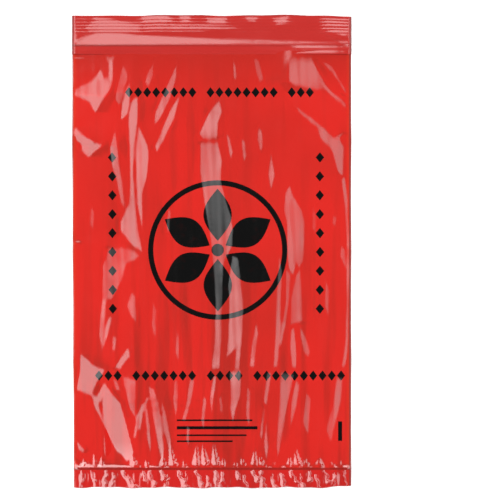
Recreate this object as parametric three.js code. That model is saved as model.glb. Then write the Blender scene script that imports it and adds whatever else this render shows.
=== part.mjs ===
// A flat press-to-close disposal bag of thin red film, lying on its back as it comes out of the packet.
// Two panels of film are welded down both sides and across the bottom, and each carries an extruded
// zip strip that forms the lip of the mouth: the front strip has the groove, the back strip the rib.
// Units are millimetres. X runs across the bag, Y along it with the mouth at +Y, and Z up.
// The origin is on the floor under the middle of the bag.

import * as THREE from "three";

// Overall size
const BAG_WIDTH = 152.4;
const BAG_LENGTH = 258;

// Film, and the clearance between pieces that the welds hold together
const FILM_THICKNESS = 0.08;
const PLY_GAP = 0.3;
const SEAM_GAP = 0.3;

// Zip strips: tape, grip ribs above the track, and the track itself
const TAPE_HEIGHT = 21.5;
const TAPE_THICKNESS = 0.2;
const TAPE_OVERLAP = 4;
const TRACK_FROM_TOP = 13.8;
const TRACK_HEIGHT = 1.7;
const TRACK_FLAT = 2.4;
const RIDGE_SLOPE = 1.6;
const LIP_PARTING = 0.6;
const FLANGE_PARTING = 1.2;
const GRIP_RIBS = 5;
const GRIP_RIB_PITCH = 1.8;
const GRIP_RIB_HEIGHT = 0.22;
const GRIP_RIB_WIDTH = 0.7;
const GRIP_RIBS_FROM_TOP = 2.2;

// Rib and groove sections
const STEM_WIDTH = 0.5;
const BARB_WIDTH = 1.1;
const BARB_REST = 0.75;
const BARB_TAPER = 0.4;
const TRACK_CLEARANCE = 0.12;
const JAW_THICKNESS = 0.35;
const JAW_LIP = 0.25;

// Welds and the loose skirt of film below the bottom one
const SIDE_WELD = 3;
const CRUSHED_LENGTH = 8;
const CRUSHED_SHARE = 0.5;
const BOTTOM_WELD = 1.6;
const SKIRT_HEIGHT = 11.2;

// Relief of the film as it lies
const PILLOW_HEIGHT = 2.3;
const PILLOW_RISE = 34;
const SIDE_RISE = 26;
const FOLD_HEIGHT = 0.45;
const FOLD_PITCH = 43;
const FOLD_SLANT = 0.12;
const PLEATS = 16;
const SKIRT_PLEAT_HEIGHT = 1.3;
const PUCKER_HEIGHT = 0.5;
const PUCKER_LENGTH = 26;
const STEP_LENGTH = 3;
const PUCKER_ROWS = 4;
const BODY_ROWS = 7;
const MOUTH_ROWS = 4;

const FILM_RED = 0xdc2f2a;
const STRIP_RED = 0xcf3d39;

const halfWidth = BAG_WIDTH / 2;
const topEdge = BAG_LENGTH / 2;
const bottomEdge = -topEdge;
const trackCentre = topEdge - TRACK_FROM_TOP;
const tapeLow = topEdge - TAPE_HEIGHT;
const filmTop = tapeLow + TAPE_OVERLAP;
const weldLow = bottomEdge + SKIRT_HEIGHT - BOTTOM_WELD / 2;
const weldHigh = weldLow + BOTTOM_WELD;

const clamp01 = (value) => Math.min(1, Math.max(0, value));
const lerp = (from, to, share) => from + (to - from) * share;
const smooth = (value) => {
  const t = clamp01(value);
  return t * t * (3 - 2 * t);
};

// Columns across the bag. The side welds and the crushed ends of the zip have their own columns, and
// between them each pleat has one column on its crest and one in its valley.
const endInsets = [0, SIDE_WELD, (SIDE_WELD + CRUSHED_LENGTH) / 2];
const firstPleatColumn = endInsets.length;

function bagColumns() {
  const inner = halfWidth - CRUSHED_LENGTH;
  const columns = endInsets.map((inset) => -halfWidth + inset);
  for (let i = 0; i <= 2 * PLEATS; i += 1) {
    columns.push(-inner + (i * inner) / PLEATS);
  }
  for (const inset of endInsets.slice().reverse()) {
    columns.push(halfWidth - inset);
  }
  return columns;
}

const columns = bagColumns();

// 1 on the crest of a pleat and 0 in its valleys, at the sides and beyond.
function pleatAt(column) {
  const i = column - firstPleatColumn;
  return i >= 0 && i <= 2 * PLEATS && i % 2 === 1 ? 1 : 0;
}

// How much of the zip's height is left at x: the side welds crush its ends.
function crushAt(x) {
  const inset = halfWidth - Math.abs(x);
  return lerp(CRUSHED_SHARE, 1, clamp01((inset - SIDE_WELD) / (CRUSHED_LENGTH - SIDE_WELD)));
}

// Levels in the zip, before it is crushed: the faces of the two tapes that look into the bag.
const backTapeInside = TAPE_THICKNESS;
const flangeInside = backTapeInside + FLANGE_PARTING;
const trackInside = backTapeInside + TRACK_HEIGHT;
const lipInside = backTapeInside + LIP_PARTING;

// The skirt below the bottom weld is gathered, most of all at its free edge.
function skirtHeight(column, y) {
  return SKIRT_PLEAT_HEIGHT * pleatAt(column) * clamp01((weldLow - y) / (weldLow - bottomEdge));
}

function backHeight(column, y) {
  const onTape = clamp01((y - tapeLow + STEP_LENGTH) / STEP_LENGTH);
  const overTape = crushAt(columns[column]) * (backTapeInside + SEAM_GAP);
  return skirtHeight(column, y) + onTape * overTape;
}

function frontHeight(column, y) {
  const x = columns[column];
  const inset = halfWidth - Math.abs(x);
  const aboveWeld = y - weldHigh;
  const onTape = clamp01((y - tapeLow + STEP_LENGTH) / STEP_LENGTH);
  const rise = smooth(aboveWeld / PILLOW_RISE);
  const nearTape = smooth(1 - (tapeLow - y) / PILLOW_RISE);
  const flangeLift = flangeInside - SEAM_GAP - 2 * FILM_THICKNESS - PLY_GAP;
  const sideRise = lerp(SIDE_RISE, CRUSHED_LENGTH - SIDE_WELD, nearTape);
  const share = smooth((inset - SIDE_WELD) / sideRise);
  const wave = Math.cos((2 * Math.PI * (x + FOLD_SLANT * y)) / FOLD_PITCH);
  const pillow = rise * lerp(PILLOW_HEIGHT + FOLD_HEIGHT * wave, flangeLift, nearTape);
  const pucker =
    PUCKER_HEIGHT * pleatAt(column) * Math.sin(Math.PI * clamp01(aboveWeld / PUCKER_LENGTH));
  const body = FILM_THICKNESS + PLY_GAP + skirtHeight(column, y) + share * (pillow + pucker);
  const underTape = crushAt(x) * (flangeInside - SEAM_GAP) - FILM_THICKNESS;
  return lerp(body, underTape, onTape);
}

// A sheet of film: a lower and an upper grid over the same columns and rows, closed round the edge.
function filmPanel(rows, heightAt) {
  const across = columns.length;
  const positions = [];
  for (const lift of [0, FILM_THICKNESS]) {
    for (const y of rows) {
      columns.forEach((x, column) => positions.push(x, y, heightAt(column, y) + lift));
    }
  }
  const layer = across * rows.length;
  const at = (row, column, upper) => upper * layer + row * across + column;
  const indices = [];
  const quad = (a, b, c, d) => indices.push(a, b, c, a, c, d);
  for (let r = 0; r + 1 < rows.length; r += 1) {
    for (let c = 0; c + 1 < across; c += 1) {
      quad(at(r, c, 1), at(r, c + 1, 1), at(r + 1, c + 1, 1), at(r + 1, c, 1));
      quad(at(r, c, 0), at(r + 1, c, 0), at(r + 1, c + 1, 0), at(r, c + 1, 0));
    }
  }
  const last = rows.length - 1;
  for (let c = 0; c + 1 < across; c += 1) {
    quad(at(0, c, 0), at(0, c + 1, 0), at(0, c + 1, 1), at(0, c, 1));
    quad(at(last, c, 1), at(last, c + 1, 1), at(last, c + 1, 0), at(last, c, 0));
  }
  const end = across - 1;
  for (let r = 0; r + 1 < rows.length; r += 1) {
    quad(at(r, 0, 0), at(r, 0, 1), at(r + 1, 0, 1), at(r + 1, 0, 0));
    quad(at(r, end, 0), at(r + 1, end, 0), at(r + 1, end, 1), at(r, end, 1));
  }
  return closedGeometry(positions, indices);
}

function closedGeometry(positions, indices) {
  const geometry = new THREE.BufferGeometry();
  geometry.setAttribute("position", new THREE.Float32BufferAttribute(positions, 3));
  geometry.setIndex(indices);
  geometry.computeVertexNormals();
  return geometry;
}

function evenly(from, to, steps) {
  return Array.from({ length: steps + 1 }, (_, i) => lerp(from, to, i / steps));
}

const skirtRows = [bottomEdge, (bottomEdge + weldLow) / 2, weldLow];
const mouthRows = [tapeLow - STEP_LENGTH, tapeLow, filmTop];

function frontRows() {
  const puckerHigh = weldHigh + PUCKER_LENGTH;
  const mouthLow = tapeLow - PILLOW_RISE;
  const puckered = evenly(weldHigh, puckerHigh, PUCKER_ROWS);
  const body = evenly(puckerHigh, mouthLow, BODY_ROWS).slice(1);
  const nearTape = evenly(mouthLow, tapeLow - STEP_LENGTH, MOUTH_ROWS).slice(1, -1);
  return [...skirtRows, ...puckered, ...body, ...nearTape, ...mouthRows];
}

function backRows() {
  return [...skirtRows, weldHigh, ...mouthRows];
}

// The outer face of a strip from its lower edge to the lip, as [y, level] where level is counted
// outwards. The ridge over the track is flat, with a slope on each side.
function stripLevels(flange, track, lip) {
  const ridge = TRACK_FLAT / 2;
  return [
    [tapeLow, flange],
    [trackCentre - ridge - RIDGE_SLOPE, flange],
    [trackCentre - ridge, track],
    [trackCentre + ridge, track],
    [trackCentre + ridge + RIDGE_SLOPE, lip],
    [topEdge, lip],
  ];
}

// Grip ribs: low trapezoids on the outer face of the lip, listed from the track up to the edge.
function gripRibs(level, outwards) {
  const points = [];
  for (let i = GRIP_RIBS - 1; i >= 0; i -= 1) {
    const y = topEdge - GRIP_RIBS_FROM_TOP - i * GRIP_RIB_PITCH;
    const crest = level + outwards * GRIP_RIB_HEIGHT;
    points.push([y - GRIP_RIB_WIDTH / 2, level]);
    points.push([y - GRIP_RIB_WIDTH / 4, crest]);
    points.push([y + GRIP_RIB_WIDTH / 4, crest]);
    points.push([y + GRIP_RIB_WIDTH / 2, level]);
  }
  return points;
}

// The groove strip's section: the tape runs over the ridge, and two hooked jaws hang from it.
function grooveSection() {
  const inner = stripLevels(flangeInside, trackInside, lipInside);
  const outer = inner.map(([y, z]) => [y, z + TAPE_THICKNESS]);
  const ribs = gripRibs(lipInside + TAPE_THICKNESS, 1);
  const jawTip = backTapeInside + SEAM_GAP;
  const cavity = BARB_WIDTH / 2 + TRACK_CLEARANCE;
  const mouth = STEM_WIDTH / 2 + TRACK_CLEARANCE;
  const jawOuter = cavity + JAW_THICKNESS;
  const hookTop = backTapeInside + BARB_REST - TRACK_CLEARANCE;
  const hookLow = Math.min(jawTip, hookTop - JAW_LIP);
  const upperJaw = [
    [trackCentre + jawOuter, trackInside],
    [trackCentre + jawOuter, jawTip],
    [trackCentre + mouth, hookLow],
    [trackCentre + mouth, hookTop],
    [trackCentre + cavity, hookTop],
    [trackCentre + cavity, trackInside],
  ];
  const lowerJaw = upperJaw.map(([y, z]) => [2 * trackCentre - y, z]);
  return [
    ...outer.slice(0, 2).reverse(), ...inner.slice(0, 3), ...lowerJaw, ...upperJaw.reverse(),
    ...inner.slice(3), outer[5], ...ribs.slice().reverse(), outer[4], outer[3], outer[2],
  ];
}

// The rib strip's section: a flat tape, smooth on the back it lies on, and a barbed rib.
function ribSection() {
  const tip = backTapeInside + TRACK_HEIGHT - SEAM_GAP;
  const rest = backTapeInside + BARB_REST;
  const upperHalf = [
    [trackCentre + STEM_WIDTH / 2, backTapeInside],
    [trackCentre + STEM_WIDTH / 2, rest],
    [trackCentre + BARB_WIDTH / 2, rest],
    [trackCentre + BARB_WIDTH / 2, tip - BARB_TAPER],
    [trackCentre + STEM_WIDTH / 4, tip],
  ];
  const lowerHalf = upperHalf.map(([y, z]) => [2 * trackCentre - y, z]).reverse();
  const back = [[tapeLow, 0], [topEdge, 0]];
  return [...back, [topEdge, backTapeInside], ...upperHalf, ...lowerHalf, [tapeLow, backTapeInside]];
}

// A strip: its section carried across the bag, crushed at both ends by the side welds.
function stripGeometry(section) {
  const outline = section.map(([y, z]) => new THREE.Vector2(y, z));
  const turned = THREE.ShapeUtils.isClockWise(outline) ? outline.slice().reverse() : outline;
  const ends = columns.slice(0, firstPleatColumn + 1);
  const stations = [...ends, ...ends.map((x) => -x).reverse()];
  const positions = [];
  for (const x of stations) {
    for (const point of turned) {
      positions.push(x, point.x, point.y * crushAt(x));
    }
  }
  const around = turned.length;
  const indices = [];
  for (let s = 0; s + 1 < stations.length; s += 1) {
    for (let i = 0; i < around; i += 1) {
      const next = (i + 1) % around;
      const a = s * around + i;
      const b = s * around + next;
      indices.push(a, b, b + around, a, b + around, a + around);
    }
  }
  const lastStation = (stations.length - 1) * around;
  for (const [a, b, c] of THREE.ShapeUtils.triangulateShape(turned, [])) {
    indices.push(a, c, b);
    indices.push(lastStation + a, lastStation + b, lastStation + c);
  }
  return closedGeometry(positions, indices);
}

function filmMaterial(colour, roughness) {
  return new THREE.MeshStandardMaterial({ color: colour, roughness, metalness: 0, side: THREE.DoubleSide });
}

function addPiece(group, name, geometry, material) {
  const mesh = new THREE.Mesh(geometry, material);
  mesh.name = name;
  group.add(mesh);
}

const bag = new THREE.Group();
addPiece(bag, "back_panel", filmPanel(backRows(), backHeight), filmMaterial(FILM_RED, 0.22));
addPiece(bag, "front_panel", filmPanel(frontRows(), frontHeight), filmMaterial(FILM_RED, 0.22));
addPiece(bag, "zip_rib_strip", stripGeometry(ribSection()), filmMaterial(STRIP_RED, 0.3));
addPiece(bag, "zip_groove_strip", stripGeometry(grooveSection()), filmMaterial(STRIP_RED, 0.3));

export default bag;
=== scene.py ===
"""A flat press-to-close disposal bag of thin red film, lying on its back on a white table."""
import math

import bpy
import numpy as np
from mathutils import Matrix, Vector
from mathutils.geometry import delaunay_2d_cdt


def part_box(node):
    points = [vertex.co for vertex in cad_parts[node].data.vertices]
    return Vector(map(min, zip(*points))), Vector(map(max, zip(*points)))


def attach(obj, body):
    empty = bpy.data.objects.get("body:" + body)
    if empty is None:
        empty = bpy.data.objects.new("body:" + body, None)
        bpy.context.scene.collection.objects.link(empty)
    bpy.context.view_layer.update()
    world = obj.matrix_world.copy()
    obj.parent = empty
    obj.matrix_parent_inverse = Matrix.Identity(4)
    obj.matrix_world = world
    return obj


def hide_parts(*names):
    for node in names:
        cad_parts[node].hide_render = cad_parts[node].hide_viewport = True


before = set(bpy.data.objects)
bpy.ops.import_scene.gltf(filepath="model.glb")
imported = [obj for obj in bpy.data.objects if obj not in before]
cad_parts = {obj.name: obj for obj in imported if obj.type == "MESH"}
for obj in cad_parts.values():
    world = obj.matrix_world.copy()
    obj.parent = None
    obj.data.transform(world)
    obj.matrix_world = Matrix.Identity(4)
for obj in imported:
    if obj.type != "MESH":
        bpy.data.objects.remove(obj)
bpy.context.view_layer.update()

MM = 0.001

# Sizes taken from the frame, in millimetres
front_low, front_high = (np.array(corner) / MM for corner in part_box("front_panel"))
groove_low, groove_high = (np.array(corner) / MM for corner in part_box("zip_groove_strip"))
HALF_WIDTH = front_high[0]
BOTTOM_EDGE = front_low[1]
TOP_EDGE = groove_high[1]
TAPE_LOW = groove_low[1]

# The photograph looks straight down: its scale, and the pixel over the frame's origin
MM_PER_PIXEL = 2 * HALF_WIDTH / 279.3
ORIGIN_PIXEL = (211.75, 251.25)
PICTURE_PIXELS = 500

# Film and welds. The front film rests at one level, and at its very edge it drops to a share of it
BACK_PLY = 0.1
FRONT_REST = 0.46
DEEPEST = -0.2
EDGE_SHARE = 0.45
EDGE_DROP = 0.3
SIDE_WELD = 3.0
SKIRT_HEIGHT = 11.2
WELD_Y = BOTTOM_EDGE + SKIRT_HEIGHT
FILM_TOP = TAPE_LOW + 2.0
WELD_BEAD = 0.40
WELD_HALF = 1.2
WELD_LEVEL = 0.62
WELD_FADE = 0.002

# The pillow between the welds: its slack, its rise, and how far in from the sides each is reached
LOOSE = 0.5
LOOSE_REACH = 10.0
PILLOW = 1.0
SIDE_RISE = 30.0
WAVE_REACH = 12.0

# At the mouth the film rises to the underside of the zip's flange
FLANGE_UNDERSIDE = 1.27
MOUTH_LENGTH = 40.0
MOUTH_REACH = 22.0

# The outline: waves of the skirt's free edge as size, length and phase, the right corner that is lifted,
# the left side that runs in towards the bottom, and the slight sway of both sides
EDGE_WAVES = ((0.245, 5.3, 0.0), (0.175, 2.1, 1.0))
SKIRT_SHORT = 0.2
CORNER_LIFT = 0.7
CORNER_FROM = 56.0
CORNER_LENGTH = 20.0
RUN_IN = 0.9
RUN_IN_FROM = 50.0
RUN_IN_LENGTH = 170.0
SIDE_SWAY = 0.2
SWAY_LENGTH = 19.0

# Zip tape: the levels of its outer face, and how far below the lip's edge it rises to the ridge over the
# track and drops to the flange
RIDGE_TOP = 2.1
RIDGE_CORNER = TOP_EDGE - 16.8
LIP_WIDTH = 9.0
RIDGE_RISE = 6.5
RIDGE_WIDTH = 16.4
RIDGE_DROP = 0.9
FLANGE_TOP = 1.62
FLANGE_TAPER = 0.30
FLANGE_EDGE = 2.6
TAPE_PLY = 0.2

# The lip hangs low at its left end and stands almost level with the ridge at its right end
LIP_PLACES = (-HALF_WIDTH, -50.0, 20.0, HALF_WIDTH)
LIP_LEVELS = (1.15, 1.0, 1.55, 1.75)

# Grip ribs along the lip, pressed flat but for the right end
RIB_PITCH = 1.8
RIB_FIRST = 2.2
RIB_HALF = 0.38
RIBS = 5
RIB_PLACES = (-76.0, -60.0, -42.0, -34.0, 20.0, 58.0, 66.0, 76.0)
RIB_HEIGHTS = (0.03, 0.022, 0.02, 0.04, 0.015, 0.02, 0.09, 0.09)

# The tape's ends are crushed flat where the bag was cut. Its upper edge waves and runs down at the corners
CRUSHED_SHARE = 0.3
CRUSHED_LENGTH = 1.3
LIP_WAVES = ((0.22, 9.0, 0.6), (0.12, 3.7, 0.0))
LIP_SHORT = 0.35
LIP_CORNER = 0.5
LIP_CORNER_FROM = 58.0
LIP_CORNER_LENGTH = 18.0

# Camera and banks of light, in metres, with the camera's sensor in millimetres
CAMERA_HEIGHT = 1.6
SENSOR = 36.0
BANK_DISTANCE = 2.5

# The white walls of the studio are bright up to one height and fade into a dark ceiling at another,
# both as the sine of the angle above the horizon
WALL_UP_TO = 0.35
CEILING_FROM = 0.85
WALL_LIGHT = 0.9
CEILING_LIGHT = 0.015


def to_mm(pixel):
    """A pixel of the photograph as a place on the bag."""
    return ((pixel[0] - ORIGIN_PIXEL[0]) * MM_PER_PIXEL, (ORIGIN_PIXEL[1] - pixel[1]) * MM_PER_PIXEL)


def smooth(value):
    t = np.clip(value, 0.0, 1.0)
    return t * t * (3.0 - 2.0 * t)


def make_camera():
    """The photograph's camera, straight above its middle."""
    middle = to_mm((PICTURE_PIXELS / 2, PICTURE_PIXELS / 2))
    camera = bpy.data.objects.new("camera", bpy.data.cameras.new("camera"))
    camera.data.sensor_width = SENSOR
    camera.data.lens = SENSOR * CAMERA_HEIGHT / (PICTURE_PIXELS * MM_PER_PIXEL * MM)
    camera.location = (middle[0] * MM, middle[1] * MM, CAMERA_HEIGHT)
    camera.data.clip_end = 20.0
    bpy.context.scene.collection.objects.link(camera)
    bpy.context.scene.camera = camera
    return camera


camera = make_camera()

# Each bank: the direction it stands in, the angles of its near and far edge off the vertical, its length in
# metres and its radiance
BANKS = {
    "left": ((-1, 0), 10.5, 38.0, 2.6, 4.6),
    "right": ((1, 0), 10.5, 34.0, 2.6, 2.8),
    "top": ((0, 1), 13.0, 42.0, 1.5, 4.8),
}
# A bank brightens away from its near edge: up to these many degrees past it, this share of its radiance
STRIPS = ((1.5, 0.34), (3.2, 0.65), (None, 1.15))


def make_banks():
    """Soft boxes over the bag, each one made of strips side by side."""
    for name, (toward, near, far, length, radiance) in BANKS.items():
        start = near
        for past, share in STRIPS:
            stop = far if past is None else near + past
            middle = math.radians((start + stop) / 2)
            span = 2 * BANK_DISTANCE * math.tan(math.radians((stop - start) / 2))
            light = bpy.data.lights.new(name + "_bank", "AREA")
            light.shape = "RECTANGLE"
            light.size = length
            light.size_y = span
            light.energy = share * radiance * span * length * math.pi
            bank = bpy.data.objects.new(name + "_bank", light)
            away = Vector((toward[0] * math.sin(middle), toward[1] * math.sin(middle), math.cos(middle)))
            bank.location = away * BANK_DISTANCE
            bank.rotation_euler = away.to_track_quat("Z", "Y").to_euler()
            bpy.context.scene.collection.objects.link(bank)
            start = stop


def make_world():
    """White studio walls that fade into a dark ceiling."""
    world = bpy.data.worlds.new("studio")
    world.use_nodes = True
    tree = world.node_tree
    background = tree.nodes["Background"]
    background.inputs["Color"].default_value = (1.0, 1.0, 1.0, 1.0)
    direction = tree.nodes.new("ShaderNodeTexCoord").outputs["Generated"]
    split = tree.nodes.new("ShaderNodeSeparateXYZ")
    ramp = tree.nodes.new("ShaderNodeMapRange")
    ramp.inputs["From Min"].default_value = WALL_UP_TO
    ramp.inputs["From Max"].default_value = CEILING_FROM
    ramp.inputs["To Min"].default_value = WALL_LIGHT
    ramp.inputs["To Max"].default_value = CEILING_LIGHT
    tree.links.new(direction, split.inputs[0])
    tree.links.new(split.outputs["Z"], ramp.inputs["Value"])
    tree.links.new(ramp.outputs[0], background.inputs["Strength"])
    bpy.context.scene.world = world
    bpy.context.scene.view_settings.view_transform = "Standard"


make_banks()
make_world()


# The film counts as flat up to one tilt, and has its full shade from the other one on
TILT_FLAT = math.cos(math.radians(2.0))
TILT_DARK = math.cos(math.radians(6.0))

# Linear colours
SIDE_RED = (0.50, 0.030, 0.012)
# Reds for painted shade: the loose skirt, the weld's lower side, the side folds, and the zip ridge's corner,
# which also darkens the tape's edges
SKIRT_SHADE_RED = (0.36, 0.010, 0.012)
WELD_SHADE_RED = (0.20, 0.012, 0.010)
SIDE_FOLD_SHADE_RED = (0.20, 0.026, 0.024)
EDGE_AND_SHADE_RED = (0.15, 0.016, 0.013)
BLACK = (0.004, 0.004, 0.004)
THIN_BLACK = (0.03, 0.004, 0.004)
TABLE_WHITE = (0.86, 0.86, 0.86)

# Fine texture, as heights in metres
FILM_GRAIN = 0.0000016
DRAWN_LINES = 0.000004
TAPE_LINES = 0.000006


class Nodes:
    """A material's node tree with short calls for the nodes used here."""

    def __init__(self, name):
        self.material = bpy.data.materials.new(name)
        self.material.use_nodes = True
        self.tree = self.material.node_tree
        self.shader = self.tree.nodes["Principled BSDF"]
        self.place = self.add("ShaderNodeTexCoord").outputs["Object"]

    def add(self, kind, **inputs):
        """A node with these inputs, each a number, a colour or another node's output."""
        node = self.tree.nodes.new(kind)
        for name, value in inputs.items():
            self.put(node.inputs[name.replace("_", " ")], value)
        return node

    def put(self, socket, value):
        if isinstance(value, bpy.types.NodeSocket):
            self.tree.links.new(value, socket)
        elif socket.type == "RGBA":
            socket.default_value = (*value, 1.0)
        else:
            socket.default_value = value

    def math(self, operation, first, second=0.5):
        node = self.add("ShaderNodeMath")
        node.operation = operation
        self.put(node.inputs[0], first)
        self.put(node.inputs[1], second)
        return node.outputs[0]

    def ramp(self, value, low, high, out_low=0.0, out_high=1.0):
        """out_low where the value is low, out_high where it is high, and even steps in between."""
        node = self.add("ShaderNodeMapRange", Value=value, From_Min=low, From_Max=high)
        self.put(node.inputs["To Min"], out_low)
        self.put(node.inputs["To Max"], out_high)
        return node.outputs[0]

    def noise(self, scale, detail=3.0, stretch=(1, 1, 1)):
        mapping = self.add("ShaderNodeMapping", Vector=self.place)
        mapping.inputs["Scale"].default_value = stretch
        node = self.add("ShaderNodeTexNoise", Vector=mapping.outputs[0], Scale=scale, Detail=detail)
        return node.outputs[0]

    def mix(self, share, first, second):
        node = self.add("ShaderNodeMix")
        node.data_type = "RGBA"
        self.put(node.inputs["Factor"], share)
        self.put(node.inputs[6], first)
        self.put(node.inputs[7], second)
        return node.outputs[2]

    def bump(self, height, distance, under=None):
        node = self.add("ShaderNodeBump", Height=height, Distance=distance)
        if under is not None:
            self.put(node.inputs["Normal"], under)
        return node.outputs[0]

    def tilt(self):
        """1 where the surface is level, less where it leans."""
        normal = self.add("ShaderNodeTexCoord").outputs["Normal"]
        return self.add("ShaderNodeSeparateXYZ", Vector=normal).outputs[2]

    def axis(self, index):
        """Place on the bag along X, Y or Z, in metres."""
        return self.add("ShaderNodeSeparateXYZ", Vector=self.place).outputs[index]


def film_material(name, glow, lifted, lifted_height):
    """Glossy red film with painted light: a painted glow where it lies on the white table, and painted shade
    where it is lifted or tilted.
    """
    n = Nodes(name)
    across, along, up = (n.axis(index) for index in range(3))
    # Painted shade: the film is painted darker where it is lifted off the table or tilted, with a random
    # cloud of tone on top
    height = n.ramp(up, 0.4 * MM, lifted_height * MM)
    cloud = n.ramp(n.noise(16.0, 2.0), 0.35, 0.65, -0.25, 0.25)
    tilt = n.ramp(n.tilt(), TILT_DARK, TILT_FLAT, 0.75, 0.0)
    share = n.math("ADD", n.math("MAXIMUM", height, tilt), cloud)
    # Slack film lies in long shallow folds; painted shade makes it a little darker in between, most of all
    # near the bottom weld
    slack = n.ramp(along, 20.0 * MM, -60.0 * MM, 0.35, 1.0)
    folds = n.ramp(n.noise(170.0, 2.0, (1, 0.07, 1)), 0.48, 0.66, -0.1, 0.65)
    share = n.math("ADD", share, n.math("MULTIPLY", folds, slack))
    colour = n.mix(share, glow, lifted)
    # The mouth hangs from the zip, off the table: painted shade darkens it towards the zip
    mouth = n.ramp(along, (FILM_TOP - 24.0) * MM, (FILM_TOP - 4.0) * MM, 0.0, 0.75)
    colour = n.mix(mouth, colour, lifted)
    outward = n.math("ABSOLUTE", across, 0)
    side = n.ramp(outward, (HALF_WIDTH - SIDE_WELD) * MM, (HALF_WIDTH - 1.0) * MM, 0.0, 0.6)
    colour = n.mix(side, colour, SIDE_RED)
    # The skirt is loose: painted shade makes it a deeper red than film that lies on the table
    loose = n.ramp(along, (WELD_Y - 0.5) * MM, (WELD_Y - 2.5) * MM, 0.0, 0.35)
    colour = n.mix(loose, colour, SKIRT_SHADE_RED)
    # Painted shade: a dark line along the lower side of the weld across the bottom
    weld = n.math("ABSOLUTE", n.math("SUBTRACT", along, (WELD_Y - 0.9) * MM), 0)
    colour = n.mix(n.ramp(weld, 0.35 * MM, 0.9 * MM, 0.75, 0.0), colour, WELD_SHADE_RED)
    # Painted shade along the folds down both sides, stronger at the right
    right = n.ramp(across, (HALF_WIDTH - 1.6) * MM, (HALF_WIDTH - 1.1) * MM, 0.0, 0.85)
    left = n.ramp(across, (0.6 - HALF_WIDTH) * MM, (1.0 - HALF_WIDTH) * MM, 0.6, 0.0)
    colour = n.mix(n.math("ADD", right, left), colour, SIDE_FOLD_SHADE_RED)
    n.put(n.shader.inputs["Base Color"], colour)
    n.put(n.shader.inputs["Roughness"], n.ramp(n.noise(90.0), 0.3, 0.7, 0.06, 0.10))
    grain = n.bump(n.noise(1500.0, 2.0), FILM_GRAIN)
    n.put(n.shader.inputs["Normal"], n.bump(n.noise(700.0, 2.0, (1, 0.03, 1)), DRAWN_LINES, grain))
    # The film is stretched and shinier where it gathers at the bottom weld
    n.put(n.shader.inputs["Coat Weight"], n.ramp(along, (WELD_Y + 5.0) * MM, (WELD_Y + 14.0) * MM, 0.7, 0.0))
    n.put(n.shader.inputs["Coat Roughness"], 0.06)
    return n.material


def tape_material(name, light, dark):
    """Extruded zip tape: duller than the film, with fine lines along its length."""
    n = Nodes(name)
    across, along = n.axis(0), n.axis(1)
    colour = n.mix(n.ramp(n.noise(40.0, 3.0, (0.2, 1, 1)), 0.3, 0.7), light, dark)
    # Painted shade under the ridge's lower corner, stronger at the left; the lip's edge and the crushed ends
    # are painted darker too
    corner = n.math("ABSOLUTE", n.math("SUBTRACT", along, RIDGE_CORNER * MM), 0)
    ridge_shade_strength = n.ramp(across, -60 * MM, 20 * MM, 0.6, 0.2)
    ridge_shade_share = n.math("MULTIPLY", n.ramp(corner, 0.3 * MM, 0.8 * MM, 1.0, 0.0), ridge_shade_strength)
    colour = n.mix(ridge_shade_share, colour, EDGE_AND_SHADE_RED)
    edge = n.ramp(along, (TOP_EDGE - 0.9) * MM, (TOP_EDGE - 0.4) * MM, 0.0, 0.5)
    colour = n.mix(edge, colour, EDGE_AND_SHADE_RED)
    end = n.math("ABSOLUTE", across, 0)
    colour = n.mix(n.ramp(end, (HALF_WIDTH - 1.2) * MM, (HALF_WIDTH - 0.7) * MM, 0.0, 0.6), colour, EDGE_AND_SHADE_RED)
    n.put(n.shader.inputs["Base Color"], colour)
    n.put(n.shader.inputs["Roughness"], n.ramp(n.noise(200.0, 2.0, (0.1, 1, 1)), 0.3, 0.7, 0.09, 0.14))
    n.put(n.shader.inputs["Normal"], n.bump(n.noise(1800.0, 2.0, (0.02, 1, 1)), TAPE_LINES))
    return n.material


def ink_material(name):
    """Black printing ink, almost as glossy as the film under it, a little thin in places."""
    n = Nodes(name)
    thin = n.ramp(n.noise(260.0, 4.0), 0.55, 0.8, 0.0, 0.25)
    n.put(n.shader.inputs["Base Color"], n.mix(thin, BLACK, THIN_BLACK))
    n.put(n.shader.inputs["Roughness"], n.ramp(n.noise(90.0), 0.3, 0.7, 0.06, 0.10))
    n.put(n.shader.inputs["Specular IOR Level"], 0.36)
    n.put(n.shader.inputs["Normal"], n.bump(n.noise(1500.0, 2.0), FILM_GRAIN))
    return n.material


def floor_material(name):
    n = Nodes(name)
    n.put(n.shader.inputs["Base Color"], TABLE_WHITE)
    n.put(n.shader.inputs["Roughness"], 0.7)
    return n.material


film_red = film_material("film_red", (0.49, 0.017, 0.013), (0.33, 0.017, 0.012), 5.5)
film_red_back = film_material("film_red_back", (0.47, 0.012, 0.009), (0.38, 0.014, 0.010), 3.2)
zip_red = tape_material("zip_red", (0.385, 0.022, 0.019), (0.345, 0.020, 0.017))
print_black = ink_material("print_black")


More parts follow.
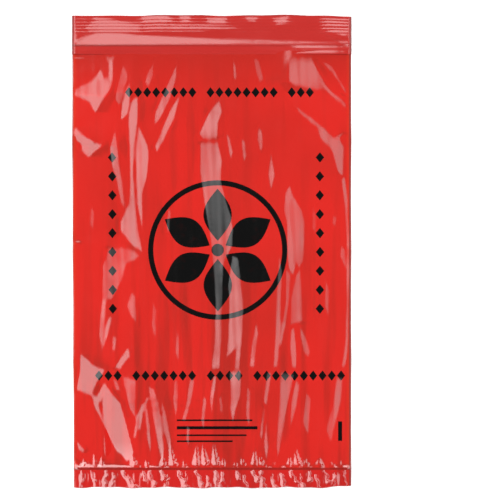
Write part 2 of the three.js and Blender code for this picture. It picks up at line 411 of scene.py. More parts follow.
# The places where the front film faces a bank of light: the bank (L, R or U for the left, right or top
# one), how fully it is lit, and the outline in the photograph's pixels
FACETS = {
    "star": ("L", 1.0, [(100, 71), (103, 78), (113, 80), (110, 90), (102, 101), (95, 112), (90, 102),
                        (82, 98), (74, 96), (74, 89), (84, 85), (93, 81)]),
    "star_tail": ("L", 0.7, [(105, 57), (116, 57), (112, 61), (113, 80), (109, 79), (109, 63)]),
    "mouth_1": ("L", 0.5, [(123, 65), (128, 76), (122, 99), (119, 106), (115, 100), (117, 87), (120, 75)]),
    "mouth_2": ("L", 1.0, [(130, 82), (130, 99), (127, 114), (121, 120), (122, 105), (125, 93)]),
    "mouth_3": ("L", 0.5, [(154, 61), (153, 78), (149, 86), (144, 84), (148, 72)]),
    "mouth_4": ("L", 0.7, [(177, 63), (176, 79), (170, 99), (159, 121), (154, 125), (155, 113), (165, 90)]),
    "mouth_5": ("L", 0.8, [(180, 96), (174, 119), (163, 142), (157, 153), (155, 147), (163, 127),
                           (172, 106)]),
    "mouth_6": ("L", 0.5, [(233, 60), (236, 66), (237, 79), (234, 80)]),
    "mouth_7": ("R", 0.6, [(253, 57), (259, 60), (264, 80), (259, 82), (255, 68)]),
    "left_low": ("L", 1.0, [(75, 128), (86, 137), (95, 143), (103, 145), (95, 151), (88, 157), (82, 151),
                            (77, 141), (73, 134)]),
    "left_spindle": ("L", 0.6, [(115, 130), (118, 148), (119, 165), (122, 182), (125, 209), (121, 204),
                                (116, 180), (112, 166), (110, 148)]),
    "long_left": ("L", 0.8, [(138, 96), (138, 115), (136, 132), (134, 150), (133, 172), (135, 205),
                             (138, 230), (142, 252), (129, 242), (120, 230), (120, 223), (124, 213),
                             (129, 203), (130, 165), (129, 138), (129, 115), (132, 100)]),
    "long_right": ("L", 0.9, [(139, 126), (148, 146), (149, 157), (147, 176), (142, 193), (142, 230),
                              (139, 215), (137, 203), (136, 172), (136, 150)]),
    "after_crease": ("L", 0.42, [(108, 248), (127, 247), (141, 256), (126, 264), (121, 281), (111, 300),
                                (101, 300), (102, 265)]),
    "left_spike": ("L", 0.5, [(131, 292), (135, 296), (136, 325), (131, 317), (126, 306)]),
    "left_v_1": ("L", 0.6, [(101, 300), (105, 300), (103, 330), (101, 347), (98, 335)]),
    "left_v_2": ("L", 0.7, [(108, 317), (111, 317), (106, 337), (101, 350), (104, 330)]),
    "left_v_3": ("L", 0.5, [(112, 335), (116, 337), (114, 351), (112, 350)]),
    "left_patch": ("L", 1.0, [(80, 354), (91, 365), (104, 370), (95, 383), (90, 395), (75, 390), (78, 376)]),
    "left_hook": ("L", 0.9, [(90, 394), (95, 397), (103, 383), (106, 385), (99, 402), (92, 402)]),
    "left_line": ("L", 0.9, [(92, 400), (96, 401), (101, 419), (108, 432), (118, 442), (120, 454),
                             (115, 450), (103, 436), (96, 422)]),
    "big_left": ("L", 1.0, [(103, 387), (107, 388), (112, 394), (119, 403), (124, 420), (128, 436),
                            (132, 452), (131, 459), (125, 461), (119, 452), (114, 442), (106, 430),
                            (102, 420), (101, 405)]),
    "low_1": ("L", 0.8, [(127, 348), (129, 356), (119, 369), (114, 367), (121, 357)]),
    "low_2": ("L", 0.5, [(121, 376), (135, 380), (134, 418), (129, 410), (125, 395)]),
    "low_3": ("L", 0.7, [(146, 396), (148, 399), (142, 412), (139, 430), (137, 430), (139, 410)]),
    "low_3_side": ("L", 0.7, [(141, 403), (143, 406), (137, 418), (135, 438), (132, 438), (135, 417)]),
    "low_4": ("L", 0.5, [(147, 385), (153, 388), (158, 402), (161, 430), (163, 448), (162, 463),
                         (158, 450), (154, 430), (150, 405)]),
    "low_5": ("L", 0.5, [(189, 379), (194, 379), (191, 400), (185, 420), (181, 420), (186, 400)]),
    "low_6": ("L", 0.4, [(174, 380), (177, 380), (178, 400), (175, 420), (172, 400)]),
    "low_7": ("L", 0.5, [(143, 402), (146, 405), (149, 430), (150, 456), (146, 440)]),
    "low_8": ("L", 0.42, [(160, 398), (165, 410), (170, 440), (169, 456), (163, 430)]),
    "low_9": ("L", 0.42, [(186, 425), (189, 428), (188, 447), (185, 440)]),
    "low_10": ("L", 0.42, [(111, 378), (116, 380), (120, 392), (115, 390)]),
    "low_11": ("L", 0.5, [(263, 405), (266, 408), (262, 440), (259, 436)]),
    "low_12": ("R", 0.5, [(296, 380), (300, 384), (295, 410), (290, 430), (291, 402)]),
    "centre_top": ("L", 0.7, [(219, 101), (222, 112), (218, 123), (217, 139), (203, 139), (199, 134),
                              (210, 111)]),
    "centre": ("L", 0.56, [(200, 142), (218, 142), (222, 160), (221, 181), (226, 201), (231, 216),
                           (233, 230), (232, 246), (223, 265), (222, 303), (221, 341), (219, 369),
                           (211, 369), (214, 341), (215, 303), (213, 263), (209, 230), (205, 207),
                           (202, 186), (200, 170)]),
    "centre_right": ("L", 0.7, [(232, 256), (238, 258), (240, 273), (243, 310), (242, 335), (239, 369),
                                (234, 369), (236, 347), (226, 358), (228, 335), (229, 300), (228, 285)]),
    "centre_spike": ("L", 0.6, [(256, 320), (258, 333), (254, 367), (249, 367), (251, 347), (254, 331)]),
    "centre_low_1": ("L", 0.6, [(213, 376), (216, 376), (213, 398), (211, 417), (209, 398)]),
    "centre_low_2": ("L", 0.7, [(229, 372), (241, 370), (240, 396), (235, 410), (232, 424), (230, 410),
                                (230, 397)]),
    "centre_low_3": ("L", 0.4, [(218, 396), (221, 396), (223, 412), (219, 412)]),
    "right_spindle": ("L", 0.6, [(271, 151), (275, 175), (271, 192), (268, 175)]),
    "right_patch": ("R", 0.7, [(290, 185), (293, 196), (302, 210), (305, 222), (303, 262), (299, 268),
                               (296, 262), (293, 275), (289, 268), (287, 252), (287, 224), (284, 211),
                               (285, 194)]),
    "right_1": ("R", 0.7, [(279, 254), (282, 272), (281, 300), (280, 330), (277, 367), (273, 367),
                           (276, 330), (277, 290)]),
    "right_2": ("R", 0.7, [(286, 268), (290, 275), (289, 300), (286, 322), (281, 345), (279, 345),
                           (283, 318), (286, 300)]),
    "right_3": ("R", 0.65, [(296, 276), (300, 268), (302, 290), (303, 321), (290, 325), (291, 300)]),
    "right_4": ("R", 0.7, [(291, 329), (294, 327), (296, 347), (296, 367), (292, 367), (290, 347)]),
    "right_5": ("R", 0.7, [(300, 326), (304, 334), (310, 352), (308, 357), (304, 353), (301, 339)]),
    "right_6": ("R", 0.65, [(267, 372), (271, 374), (267, 400), (266, 430), (268, 446), (266, 461),
                            (264, 448), (263, 420), (264, 398)]),
    "right_7": ("R", 0.5, [(280, 372), (294, 374), (288, 402), (284, 420), (280, 446), (277, 463),
                           (276, 446), (279, 410)]),
    "mouth_right": ("R", 1.0, [(289, 60), (292, 57), (312, 57), (316, 67), (328, 88), (320, 89), (296, 86),
                               (289, 82)]),
    "corner_tail": ("R", 1.0, [(322, 82), (336, 94), (348, 102), (346, 107), (333, 98), (324, 88)]),
    "corner_streak": ("R", 0.8, [(320, 60), (333, 66), (342, 76), (348, 94), (345, 93), (337, 79)]),
    "diagonal": ("R", 0.9, [(294, 106), (304, 113), (313, 119), (328, 132), (333, 138), (343, 133),
                            (344, 150), (343, 176), (338, 171), (333, 152), (326, 143), (320, 138),
                            (318, 128), (304, 117)]),
    "edge_1": ("R", 0.9, [(345, 176), (348, 200), (349, 235), (349, 300), (348, 345), (345, 367),
                          (342, 367), (346, 340), (347, 300), (347, 240), (345, 205), (342, 180)]),
    "edge_2": ("R", 0.5, [(337, 377), (343, 378), (341, 400), (336, 420), (331, 442), (326, 430),
                          (333, 405)]),
    "edge_3": ("R", 0.6, [(341, 245), (345, 250), (346, 269), (340, 256)]),
    "edge_4": ("R", 0.5, [(333, 215), (337, 217), (336, 227), (332, 224)]),
    "faint_1": ("L", 0.42, [(226, 133), (229, 136), (233, 152), (231, 160), (228, 148)]),
    "faint_2": ("L", 0.38, [(242, 138), (245, 141), (247, 156), (244, 163), (242, 150)]),
    "faint_3": ("L", 0.40, [(258, 126), (262, 131), (263, 149), (260, 152), (257, 140)]),
    "faint_4": ("R", 0.45, [(313, 205), (317, 215), (316, 236), (312, 228)]),
    "faint_5": ("L", 0.40, [(168, 205), (171, 211), (169, 236), (166, 228)]),
    "faint_6": ("L", 0.42, [(152, 300), (156, 310), (155, 338), (151, 326)]),
    "faint_7": ("L", 0.40, [(176, 330), (179, 336), (178, 362), (175, 352)]),
    "faint_8": ("R", 0.42, [(326, 280), (330, 290), (329, 318), (325, 306)]),
    "faint_9": ("L", 0.42, [(203, 395), (206, 400), (203, 430), (200, 420)]),
    "faint_10": ("L", 0.45, [(247, 385), (251, 392), (249, 428), (245, 415)]),
    "faint_11": ("R", 0.45, [(306, 392), (311, 398), (308, 436), (303, 422)]),
    "faint_12": ("L", 0.40, [(90, 205), (94, 212), (93, 232), (89, 224)]),
    "left_crease": ("U", 1.0, [(71, 238), (80, 240.5), (80, 243.5), (71, 242)]),
    "corner_crease": ("U", 1.0, [(72, 56.5), (86, 57.5), (82, 60), (72, 60)]),
    "corner_low_1": ("L", 0.8, [(75, 441), (83, 449), (82, 456), (77, 451)]),
    "corner_low_2": ("U", 1.0, [(74, 457), (87, 463.5), (80, 465), (74, 461)]),
}

# Gathers that stand on the bottom weld: left and right end and top, in the photograph's pixels
GATHERS = [
    (79, 84, 458), (86, 89, 459), (91, 95, 450), (97, 102, 455), (128, 137, 455), (143, 148, 458),
    (157, 164, 455), (167, 175, 445), (181, 185, 458), (190, 198, 443), (199, 208, 443), (210, 218, 442),
    (219, 224, 455), (232, 237, 460), (239, 244, 454), (249, 256, 446), (257, 264, 455), (271, 276, 461),
    (284, 291, 456), (292, 301, 449), (302, 308, 457), (311, 322, 458), (328, 333, 461), (338, 342, 460),
]
GATHER_FOOT = 466.0
# A gather's point reaches on by this share of its height, and it leans by a share of its width
GATHER_TIP = 0.35
GATHER_LEANS = (0.9, 0.35, 0.35)

# Pleats of the skirt below the weld: where each one starts across the bag and how far down, where it
# ends at the lower side, and its width there
SKIRT_PLEATS = [
    (80, 470, 78, 487, 2), (88, 470, 90, 480, 3), (103, 470, 99, 489, 5), (111, 472, 107, 489, 4),
    (118, 470, 129, 489, 5), (127, 476, 134, 489, 3), (142, 470, 141, 480, 3), (146, 470, 150, 489, 5),
    (157, 470, 160, 478, 5), (166, 474, 162, 489, 3), (175, 470, 180, 486, 6), (184, 470, 182, 489, 2),
    (193, 470, 199, 489, 5), (206, 475, 204, 489, 3), (212, 470, 214, 489, 5), (221, 471, 217, 489, 3),
    (234, 470, 236, 478, 4), (241, 474, 245, 489, 3), (250, 470, 253, 480, 5), (257, 470, 259, 489, 6),
    (269, 474, 272, 489, 4), (278, 472, 281, 489, 5), (287, 470, 292, 481, 5), (297, 473, 300, 489, 4),
    (308, 470, 306, 480, 4), (314, 474, 317, 489, 3), (321, 470, 325, 482, 5), (333, 472, 330, 485, 4),
    (342, 470, 343, 489, 3),
]
# Slope of a pleat's bright side, and the width of its steep dark side
PLEAT_SLOPE = 0.155
PLEAT_FALL = 0.55
# A fold rises out of the weld over this length, and narrower ones than this are left out
FOLD_START = 0.5
NARROWEST = 0.05


def outline_distance(points, x, y):
    """Distance from a closed outline, negative inside it, for arrays x and y."""
    nearest = np.full(x.shape, np.inf)
    inside = np.zeros(x.shape, bool)
    for (ax, ay), (bx, by) in zip(points, points[1:] + points[:1]):
        squared = (bx - ax) ** 2 + (by - ay) ** 2
        along = np.clip(((x - ax) * (bx - ax) + (y - ay) * (by - ay)) / squared, 0, 1)
        gap = np.hypot(x - ax - along * (bx - ax), y - ay - along * (by - ay))
        nearest = np.minimum(nearest, gap)
        if ay != by:
            inside ^= ((ay > y) != (by > y)) & (x < ax + (y - ay) * (bx - ax) / (by - ay))
    return np.where(inside, -nearest, nearest)


class Relief:
    """Heights of a sheet over a grid, relaxed until it faces the banks of light only in its outlines."""

    # Slope past a bank's near edge that is fully lit, and slope short of it that is sure to stay dark
    LIT = 0.04
    CALM = 0.022
    # An outline is drawn only this far, in millimetres, across from its middle and beyond its ends
    WINDOW = 60
    MARGIN = 2

    def __init__(self, low, high, columns, rows, base, outlines, down_most, rounds, edge_blur):
        self.low, self.high, self.edge_blur = low, high, edge_blur
        self.xs = np.linspace(-HALF_WIDTH, HALF_WIDTH, columns)
        self.ys = np.linspace(low, high, rows)
        self.dx = self.xs[1] - self.xs[0]
        self.dy = self.ys[1] - self.ys[0]
        self.x, self.y = np.meshgrid(self.xs, self.ys)
        self.masks = self.draw_masks(outlines)
        self.height = self.relax(base(self.x, self.y), down_most, rounds)

    def facing_slope(self, name):
        """The slope at which a point mirrors a bank's near edge into the camera."""
        toward, near = BANKS[name][0], BANKS[name][1]
        along = (self.x * toward[0] + self.y * toward[1]) * MM
        lens = camera.location.x * toward[0] + camera.location.y * toward[1]
        edge = BANK_DISTANCE * math.sin(math.radians(near))
        high = BANK_DISTANCE * math.cos(math.radians(near))
        bank_angle = np.arctan((edge - along) / high)
        view_angle = np.arctan((lens - along) / CAMERA_HEIGHT)
        return np.tan((bank_angle + view_angle) / 2)

    def draw_masks(self, outlines):
        """For each bank, how fully every place is lit by it."""
        masks = {facing: np.zeros(self.x.shape) for facing in "LRU"}
        for facing, share, outline in outlines:
            corners = [to_mm(pixel) for pixel in outline]
            ends = [c[1] for c in corners]
            across = np.abs(self.xs - np.mean([c[0] for c in corners])) < self.WINDOW
            along = (self.ys > min(ends) - self.MARGIN) & (self.ys < max(ends) + self.MARGIN)
            part = np.ix_(along, across)
            gap = outline_distance(corners, self.x[part], self.y[part])
            inside = share * smooth(0.5 - gap / (2 * self.edge_blur))
            masks[facing][part] = np.maximum(masks[facing][part], inside)
        return masks

    def relax(self, base, down_most, rounds):
        """Heights close to the base whose slopes keep within the limits, found in alternating rounds."""
        left, right, top = (self.facing_slope(name) for name in ("left", "right", "top"))

        def limit(threshold, mask):
            """Slope towards a bank: at least and at most, by how far the place is lit."""
            at_least = np.where(mask > 0, threshold - self.CALM + (self.LIT + self.CALM) * mask, -1.0)
            at_most = threshold - self.CALM + (2.5 * self.LIT + self.CALM) * mask
            return at_least, at_most

        left_least, left_most = limit(left, self.masks["L"])
        right_least, right_most = limit(right, self.masks["R"])
        top_least, top_most = limit(top, self.masks["U"])
        x_least = np.maximum(left_least, -right_most)
        x_most = np.maximum(np.minimum(left_most, -right_least), x_least)
        y_least, y_most = -top_most, np.minimum(down_most, -top_least)
        rows, columns = base.shape
        sine_y, bend_y = self.sines(rows - 2, self.dy)
        sine_x, bend_x = self.sines(columns - 2, self.dx)
        share = 4 / ((rows - 1) * (columns - 1)) / (bend_y[:, None] + bend_x[None, :])
        x_limits = [(v[:, 1:] + v[:, :-1]) / 2 for v in (x_least, x_most)]
        y_limits = [(v[1:, :] + v[:-1, :]) / 2 for v in (y_least, y_most)]
        height = base.copy()
        base_x, base_y = np.diff(base, axis=1) / self.dx, np.diff(base, axis=0) / self.dy
        strain_x, strain_y = np.zeros_like(base_x), np.zeros_like(base_y)
        for _ in range(rounds):
            slope_x, slope_y = np.diff(height, axis=1) / self.dx, np.diff(height, axis=0) / self.dy
            wanted_x = np.clip(slope_x + strain_x, *x_limits)
            wanted_y = np.clip(slope_y + strain_y, *y_limits)
            strain_x += slope_x - wanted_x
            strain_y += slope_y - wanted_y
            pull = np.diff(wanted_x - strain_x - base_x, axis=1)[1:-1, :] / self.dx
            pull = pull + np.diff(wanted_y - strain_y - base_y, axis=0)[:, 1:-1] / self.dy
            height[1:-1, 1:-1] = base[1:-1, 1:-1] - sine_y @ ((sine_y @ pull @ sine_x) * share) @ sine_x
        return height

    @staticmethod
    def sines(count, step):
        """Standing waves between fixed ends, and how strongly each one bends."""
        steps = np.arange(1, count + 1)
        waves = np.sin(np.pi * np.outer(steps, steps) / (count + 1))
        return waves, (2 - 2 * np.cos(np.pi * steps / (count + 1))) / step ** 2

    def at(self, x, y):
        """Height at any place, read smoothly from the grid."""
        u = np.clip((x + HALF_WIDTH) / self.dx, 0, len(self.xs) - 1.001)
        v = np.clip((y - self.low) / self.dy, 0, len(self.ys) - 1.001)
        column, row = u.astype(int), v.astype(int)
        u, v = u - column, v - row
        h = self.height
        low = h[row, column] * (1 - u) + h[row, column + 1] * u
        high = h[row + 1, column] * (1 - u) + h[row + 1, column + 1] * u
        return low * (1 - v) + high * v


def waves(seed, count, length_x, length_y, spread):
    """A seeded sum of plane waves with about that wavelength across and along the bag."""
    rng = np.random.default_rng(seed)
    kx = rng.normal(0, 1, count) * 2 * math.pi / length_x
    ky = rng.normal(0, 1, count) * 2 * math.pi / length_y
    phase = rng.uniform(0, 2 * math.pi, count)
    size = spread * rng.uniform(0.3, 1.0, count) / math.sqrt(count)
    return lambda x, y: sum(s * np.sin(a * x + b * y + p) for s, a, b, p in zip(size, kx, ky, phase))


soft_waves = waves(seed=5, count=20, length_x=15.0, length_y=80.0, spread=0.30)


def film_base(x, y):
    """The plain pillow that the film makes between its welds, before it creases."""
    inset = HALF_WIDTH - np.abs(x) - 1.0
    end = smooth((y - WELD_Y) / SIDE_RISE)
    mouth = smooth(1 - (FILM_TOP - y) / MOUTH_LENGTH)
    pillow = PILLOW * smooth(inset / SIDE_RISE) + smooth(inset / WAVE_REACH) * soft_waves(x, y)
    body = LOOSE * smooth(inset / LOOSE_REACH) + end * pillow
    return body * (1 - mouth) + mouth * smooth(inset / MOUTH_REACH) * (FLANGE_UNDERSIDE - FRONT_REST)


film = Relief(
    low=WELD_Y - 4.0, high=FILM_TOP, columns=305, rows=320, base=film_base, outlines=list(FACETS.values()),
    down_most=0.12, rounds=150, edge_blur=0.55,
)


fine_waves = waves(seed=3, count=24, length_x=12.0, length_y=50.0, spread=0.016)
weld_waves = waves(seed=7, count=12, length_x=9.0, length_y=1000.0, spread=0.5)
skirt_waves = waves(seed=11, count=16, length_x=5.0, length_y=14.0, spread=0.11)


def wander(y, size, rate, phase):
    """How far a fold strays sideways along its length."""
    return size * np.sin(rate * y + phase)


def pleat(x, left, width):
    """A fold that rises over its width and drops steeply behind it."""
    rise = PLEAT_SLOPE * np.clip(x - left, 0, width)
    fall = np.clip(1 - (x - left - width) / PLEAT_FALL, 0, 1)
    return np.where(width > NARROWEST, rise * fall, 0.0)


def gathers(x, y):
    """Folds that stand on the weld's upper side, each narrowing upwards."""
    total = np.zeros_like(x)
    for i, (left, right, top) in enumerate(GATHERS):
        (x0, foot), (x1, peak) = to_mm((left, GATHER_FOOT)), to_mm((right, top))
        peak += GATHER_TIP * (peak - foot)
        up = np.clip((y - foot) / (peak - foot), 0, 1)
        lean = GATHER_LEANS[i % len(GATHER_LEANS)] * (x1 - x0)
        start = x0 + lean * up + wander(y, size=0.12, rate=1.9, phase=2.4 * i)
        width = (x1 - x0) * (1 - up) ** 1.6 * (1 + wander(y, size=0.25, rate=2.7, phase=i))
        total = np.maximum(total, pleat(x, start, width) * smooth((y - foot) / FOLD_START))
    return total


def skirt_pleats(x, y):
    """Folds that hang from the weld's lower side, each widening towards the free edge."""
    total = np.zeros_like(x)
    for i, (first_x, first_y, last_x, last_y, width) in enumerate(SKIRT_PLEATS):
        (x0, top), (x1, foot) = to_mm((first_x, first_y)), to_mm((last_x, last_y))
        down = np.clip((top - y) / (top - foot), 0, 1)
        ends = smooth((top - y) / FOLD_START) * smooth((y - foot) / 2.0 + 1.0)
        widening = (0.45 + 0.55 * down) * (1 + wander(y, size=0.3, rate=1.7, phase=1.3 * i))
        start = x0 + (x1 - x0) * down + wander(y, size=0.35, rate=0.9, phase=2.1 * i)
        total = np.maximum(total, pleat(x, start, width * MM_PER_PIXEL * widening) * ends)
    crumple = smooth((WELD_Y - WELD_HALF - y) / 3.0) * smooth((HALF_WIDTH - np.abs(x)) / 4.0)
    return total + crumple * np.maximum(skirt_waves(x, y), -0.1)


def front_height(x, y):
    """The outside of the front film."""
    inset = HALF_WIDTH - np.abs(x)
    inner = smooth(inset / 4.0)
    bead = WELD_BEAD * np.clip(1 - np.abs(y - WELD_Y) / WELD_HALF, 0, 1)
    bead = bead * (WELD_LEVEL - WELD_FADE * x + weld_waves(x, y))
    body = film.at(x, np.maximum(y, WELD_Y)) + inner * fine_waves(x, y)
    closed = EDGE_SHARE + (1 - EDGE_SHARE) * smooth(inset / EDGE_DROP)
    folds = gathers(x, y) + skirt_pleats(x, y)
    return closed * (FRONT_REST + np.maximum(body, DEEPEST)) + bead * inner + folds


def sheet_object(name, xs, ys, height, material, shift, ply=0.0):
    """A sheet over a grid of columns xs and rows ys, with an underside where it has a thickness ply."""
    x, y = np.meshgrid(xs, ys)
    z = height(x, y)
    x, y = shift(x, y)
    points = np.stack([x, y, z], axis=-1).reshape(-1, 3)
    across, along = len(xs), len(ys)
    grid = np.arange(along * across).reshape(along, across)
    corner = grid[:-1, :-1].reshape(-1)
    quads = np.stack([corner, corner + 1, corner + 1 + across, corner + across], axis=-1)
    if ply > 0:
        under = points - (0, 0, ply)
        rim = np.concatenate([grid[0, :-1], grid[:-1, -1], grid[-1, :0:-1], grid[:0:-1, 0]])
        walls = np.stack([np.roll(rim, -1), rim, rim + len(points), np.roll(rim, -1) + len(points)], axis=-1)
        quads = np.concatenate([quads, quads[:, ::-1] + len(points), walls])
        points = np.concatenate([points, under])
    return mesh_object(name, points * MM, quads, material)


def mesh_object(name, points, faces, material):
    mesh = bpy.data.meshes.new(name)
    mesh.from_pydata(points.tolist(), [], [list(face) for face in faces])
    mesh.shade_smooth()
    mesh.materials.append(material)
    piece = bpy.data.objects.new(name, mesh)
    bpy.context.scene.collection.objects.link(piece)
    return piece


def edge_shift(x, y):
    """The film's outline: the wavy free edge of the skirt, its lifted right corner and the uneven sides."""
    down = np.clip((WELD_Y - y) / SKIRT_HEIGHT, 0, 1) ** 2
    wave = sum(size * np.sin(x / length + phase) for size, length, phase in EDGE_WAVES)
    corner = CORNER_LIFT * smooth((x - CORNER_FROM) / CORNER_LENGTH)
    run_in = RUN_IN * np.clip((RUN_IN_FROM - y) / RUN_IN_LENGTH, 0, 1) * (HALF_WIDTH - x) / (2 * HALF_WIDTH)
    sway = SIDE_SWAY * np.abs(np.sin(y / SWAY_LENGTH)) * x / HALF_WIDTH
    return x + run_in - sway, y + down * (SKIRT_SHORT + wave + corner)


def keep(piece, nodes):
    """Attaches a finished piece to the root and hides the solids that it replaces."""
    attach(piece, "root")
    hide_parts(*nodes)
    return piece


def columns(count, insets):
    """Places across the bag: evenly spaced, with extra ones at these insets from both side edges."""
    near = HALF_WIDTH - np.array(insets)
    return np.concatenate([-near, np.linspace(-near[-1], near[-1], count)[1:-1], near[::-1]])


film_columns = columns(305, (0.0, 0.12, 0.24, 0.36, 0.7))
film_rows = np.linspace(WELD_Y, FILM_TOP, 280)
front = sheet_object("front_panel_film", film_columns, film_rows, front_height, film_red, edge_shift)
keep(front, ["front_panel"])
skirt_columns = columns(761, (0.0, 0.12, 0.24, 0.36, 0.5))
skirt_rows = np.linspace(BOTTOM_EDGE, WELD_Y, 36)
skirt = sheet_object("front_skirt_film", skirt_columns, skirt_rows, front_height, film_red, edge_shift)
keep(skirt, ["front_panel"])

back_waves = waves(seed=9, count=20, length_x=14.0, length_y=60.0, spread=0.12)


def back_height(x, y):
    """The outside of the back film, which lies on the table with a few shallow creases."""
    ends = smooth((HALF_WIDTH - np.abs(x)) / 6.0)
    return BACK_PLY + ends * np.clip(0.06 + back_waves(x, y), 0, 0.25)


back_columns = np.linspace(-HALF_WIDTH, HALF_WIDTH, 201)
back_rows = np.linspace(BOTTOM_EDGE, FILM_TOP, 181)
back = sheet_object("back_panel_film", back_columns, back_rows, back_height, film_red_back, edge_shift)
keep(back, ["back_panel"])

# The places where the front zip tape faces a bank of light, as for the film
TAPE_LIT = {
    "ridge": ("U", 1.0, [(74, 45), (80, 41), (88, 36), (97, 32.5), (120, 33), (145, 36), (190, 38),
                         (228, 40), (262, 42), (228, 44), (95, 44.6)]),
    "ridge_tail": ("U", 0.55, [(225, 39), (285, 41), (338, 42.8), (285, 43.8), (225, 44.2)]),
    "ridge_end": ("U", 0.8, [(72, 43), (80, 38.5), (88, 35), (80, 39.7), (72, 44)]),
    "lip_left": ("U", 0.8, [(86, 27), (92, 22), (100, 17.5), (141, 24), (139, 31), (90, 31)]),
    "edge_1": ("U", 0.9, [(94, 17), (104, 18), (104, 21), (95, 20)]),
    "edge_2": ("U", 1.0, [(142, 16), (168, 16), (172, 20), (165, 23), (143, 22)]),
    "edge_3": ("U", 1.0, [(180, 16), (190, 16), (189, 22), (182, 22)]),
    "edge_4": ("U", 1.0, [(207, 18), (226, 17), (225, 23), (208, 23)]),
    "edge_5": ("U", 1.0, [(246, 17), (257, 17), (255, 20.5), (248, 20)]),
    "edge_6": ("U", 1.0, [(274, 19), (288, 16.5), (287, 23), (277, 24)]),
    "lip_middle": ("U", 0.5, [(142, 24), (205, 25), (235, 27), (200, 30), (143, 30)]),
    "right_1": ("U", 0.8, [(324, 19), (350, 18), (350, 20.5), (326, 21)]),
    "right_2": ("U", 0.8, [(326, 23.5), (350, 23), (350, 25.5), (328, 25.5)]),
    "right_3": ("U", 0.8, [(327, 29), (350, 28), (350, 34), (345, 35.5), (336, 33)]),
    "flange_1": ("U", 1.0, [(292, 46), (350, 46), (350, 47.8), (294, 47.6)]),
    "flange_2": ("U", 1.0, [(293, 51), (350, 50.6), (350, 52.6), (296, 52.6)]),
}


def tape_base(x, y):
    """The tape's outer face before it bends: lip, ridge and flange."""
    down = TOP_EDGE - y
    lip = np.interp(x, LIP_PLACES, LIP_LEVELS)
    rise = smooth((down - LIP_WIDTH) / RIDGE_RISE)
    fall = smooth((down - RIDGE_WIDTH) / RIDGE_DROP)
    flange = FLANGE_TOP - FLANGE_TAPER * smooth(1 - (y - TAPE_LOW) / FLANGE_EDGE)
    return (lip + (RIDGE_TOP - lip) * rise) * (1 - fall) + flange * fall


tape_relief = Relief(
    low=TAPE_LOW, high=TOP_EDGE + 3.0, columns=255, rows=140, base=tape_base,
    outlines=list(TAPE_LIT.values()), down_most=1.0, rounds=80, edge_blur=1.0,
)


def tape_height(x, y):
    """The outside of the front tape, from its flange over the track's ridge to the ribbed lip."""
    down = TOP_EDGE - y
    ribs = sum(np.exp(-(((down - RIB_FIRST - RIB_PITCH * i) / RIB_HALF) ** 2)) for i in range(RIBS))
    inset = HALF_WIDTH - np.abs(x)
    crush = CRUSHED_SHARE + (1 - CRUSHED_SHARE) * smooth(inset / CRUSHED_LENGTH)
    return crush * (tape_relief.at(x, y) + np.interp(x, RIB_PLACES, RIB_HEIGHTS) * ribs)


def tape_shift(x, y):
    """The tape's outline: its upper edge waves a little and runs down at the corners."""
    up = ((y - TAPE_LOW) / (TOP_EDGE - TAPE_LOW)) ** 2
    wave = sum(size * np.sin(x / length + phase) for size, length, phase in LIP_WAVES)
    corner = LIP_CORNER * smooth((np.abs(x) - LIP_CORNER_FROM) / LIP_CORNER_LENGTH)
    return x, y - up * (LIP_SHORT + wave + corner)


tape_columns = columns(251, (0.0, 0.3, 0.6, 0.9, 1.2))
tape_rows = np.linspace(TAPE_LOW, TOP_EDGE, 140)
tape = sheet_object("zip_tape_front", tape_columns, tape_rows, tape_height, zip_red, tape_shift, TAPE_PLY)
keep(tape, ["zip_groove_strip"])


def rib_tape_height(x, y):
    """The back tape lies flat on the table."""
    return np.full_like(x, TAPE_PLY)


rib_tape = sheet_object(
    "zip_tape_back", tape_columns[::4], tape_rows[::3], rib_tape_height, zip_red, tape_shift, TAPE_PLY
)
keep(rib_tape, ["zip_rib_strip"])

# Print: how far it stands off the film, the size of its mesh, and the reach over which its shine is smoothed
INK_LIFT = 0.06
INK_STEP = 0.55
INK_REACH = 0.4

# A rosette of petals in a ring, in millimetres, with its centre in the photograph's pixels
ROSETTE_CENTRE = (217.5, 250.0)
RING_OUTER = 38.0
RING_INNER = 35.2
PETALS = 6
PETAL_INNER = 5.0
PETAL_OUTER = 33.4
PETAL_WIDTH = 15.5
EYE_RADIUS = 3.4

# Diamonds stand in rows and columns. Each row: its first place, its step, how many are in each group, and
# how far down it is, all in the photograph's pixels
DIAMOND_HEIGHT = 5.6
ROW_WIDTH = 4.4
ROWS = ((129, 9.05, (8, 8, 3), 92.5), (98, 9.35, (3, 7, 4, 10), 375.5))
COLUMN_WIDTH = 4.6
COLUMN_PLACES = (112, 320)
COLUMN_TOP = 157.5
COLUMN_STEP = 18.9
COLUMN_COUNT = 9

# Plain rules, each with its middle, its right end and its thickness, and the bar at the right, in pixels
RULE_LEFT = 176
RULES = ((420, 252, 1.6), (427.5, 257, 3.0), (435, 246, 1.6), (441, 232, 1.6))
RIGHT_BAR = (338.3, 342.3, 421.3, 440.7)


def divided(loop):
    """The same outline with its sides cut into short pieces, so that it can follow the film."""
    points = []
    for start, end in zip(loop, loop[1:] + loop[:1]):
        pieces = math.ceil(math.dist(start, end) / (1.5 * INK_STEP))
        points += [tuple(np.array(start) + (np.array(end) - start) * i / pieces) for i in range(pieces)]
    return points


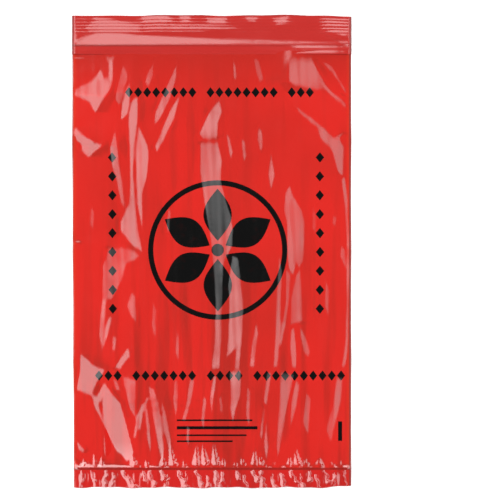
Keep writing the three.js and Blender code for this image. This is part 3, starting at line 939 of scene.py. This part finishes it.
def ink_mesh(shapes):
    """Flat shapes, each an outline with its holes in millimetres, filled and laid on the film."""
    points, faces = [], []
    for outline, holes in shapes:
        outline, *holes = (divided(loop) for loop in [outline] + holes)
        loops = [outline] + holes
        border = [Vector(p) for loop in loops for p in loop]
        edges, first = [], 0
        for loop in loops:
            edges += [(first + i, first + (i + 1) % len(loop)) for i in range(len(loop))]
            first += len(loop)
        xs = np.arange(min(p[0] for p in outline), max(p[0] for p in outline), INK_STEP)
        ys = np.arange(min(p[1] for p in outline), max(p[1] for p in outline), INK_STEP)
        gx, gy = np.meshgrid(xs + INK_STEP / 2, ys + INK_STEP / 2)
        gap = outline_distance(outline, gx, gy)
        for hole in holes:
            gap = np.maximum(gap, -outline_distance(hole, gx, gy))
        clear = gap < -0.3 * INK_STEP
        inner = [Vector(p) for p in zip(gx[clear], gy[clear])]
        made, _, tris, _, _, _ = delaunay_2d_cdt(border + inner, edges, [], 0, 1e-5)
        made = np.array([tuple(p) for p in made])
        tris = np.array(tris)
        middles = made[tris].mean(axis=1)
        inside = outline_distance(outline, middles[:, 0], middles[:, 1]) < 0
        for hole in holes:
            inside &= outline_distance(hole, middles[:, 0], middles[:, 1]) > 0
        faces.append(tris[inside] + sum(len(p) for p in points))
        points.append(made)
    x, y = np.concatenate(points).T
    z = front_height(x, y) + INK_LIFT
    lean_x = (front_height(x + INK_REACH, y) - front_height(x - INK_REACH, y)) / (2 * INK_REACH)
    lean_y = (front_height(x, y + INK_REACH) - front_height(x, y - INK_REACH)) / (2 * INK_REACH)
    normals = np.column_stack([-lean_x, -lean_y, np.ones_like(x)])
    normals /= np.linalg.norm(normals, axis=1)[:, None]
    return np.column_stack([*edge_shift(x, y), z]) * MM, np.concatenate(faces), normals


def circle(centre, radius, steps):
    angles = np.linspace(0.0, 2 * math.pi, steps, endpoint=False)
    return [(centre[0] + radius * math.cos(a), centre[1] + radius * math.sin(a)) for a in angles]


def petal(centre, angle):
    """A petal pointed at both ends, from the inner radius out to the outer one."""
    side = []
    for t in np.linspace(0, 1, 24):
        side.append((PETAL_INNER + (PETAL_OUTER - PETAL_INNER) * t, PETAL_WIDTH / 2 * math.sin(math.pi * t)))
    full = side + [(r, -w) for r, w in side[-2:0:-1]]
    c, s = math.cos(angle), math.sin(angle)
    return [(centre[0] + r * c - w * s, centre[1] + r * s + w * c) for r, w in full]


def rosette_shapes():
    centre = to_mm(ROSETTE_CENTRE)
    shapes = [(circle(centre, RING_OUTER, 96), [circle(centre, RING_INNER, 96)])]
    for i in range(PETALS):
        shapes.append((petal(centre, math.radians(90 + 360 * i / PETALS)), []))
    shapes.append((circle(centre, EYE_RADIUS, 48), []))
    return shapes


def diamond(pixel, width):
    x, y = to_mm(pixel)
    half = DIAMOND_HEIGHT / 2
    return ([(x - width / 2, y), (x, y - half), (x + width / 2, y), (x, y + half)], [])


def bar(left, right, top, bottom):
    (x0, y0), (x1, y1) = to_mm((left, bottom)), to_mm((right, top))
    return ([(x0, y0), (x1, y0), (x1, y1), (x0, y1)], [])


def mark_shapes():
    """The rows and columns of diamonds, the rules and the bar."""
    shapes = []
    for place, step, groups, row in ROWS:
        for group in groups:
            shapes += [diamond((place + step * i, row), ROW_WIDTH) for i in range(group)]
            place += step * (group + 1)
    for column in COLUMN_PLACES:
        for i in range(COLUMN_COUNT):
            shapes.append(diamond((column, COLUMN_TOP + COLUMN_STEP * i), COLUMN_WIDTH))
    for row, right, thick in RULES:
        shapes.append(bar(RULE_LEFT, right, row - thick / 2, row + thick / 2))
    shapes.append(bar(*RIGHT_BAR))
    return shapes


ink_points, ink_faces, ink_normals = ink_mesh(rosette_shapes() + mark_shapes())
ink = mesh_object("print_on_front", ink_points, ink_faces, print_black)
ink.data.normals_split_custom_set_from_vertices(ink_normals.tolist())
keep(ink, [])


def make_floor():
    """The white table that the bag lies on."""
    mesh = bpy.data.meshes.new("table")
    half = 4.0
    corners = [(-half, -half, 0), (half, -half, 0), (half, half, 0), (-half, half, 0)]
    mesh.from_pydata(corners, [], [(0, 1, 2, 3)])
    mesh.materials.append(floor_material("table_white"))
    floor = bpy.data.objects.new("table", mesh)
    bpy.context.scene.collection.objects.link(floor)


make_floor()
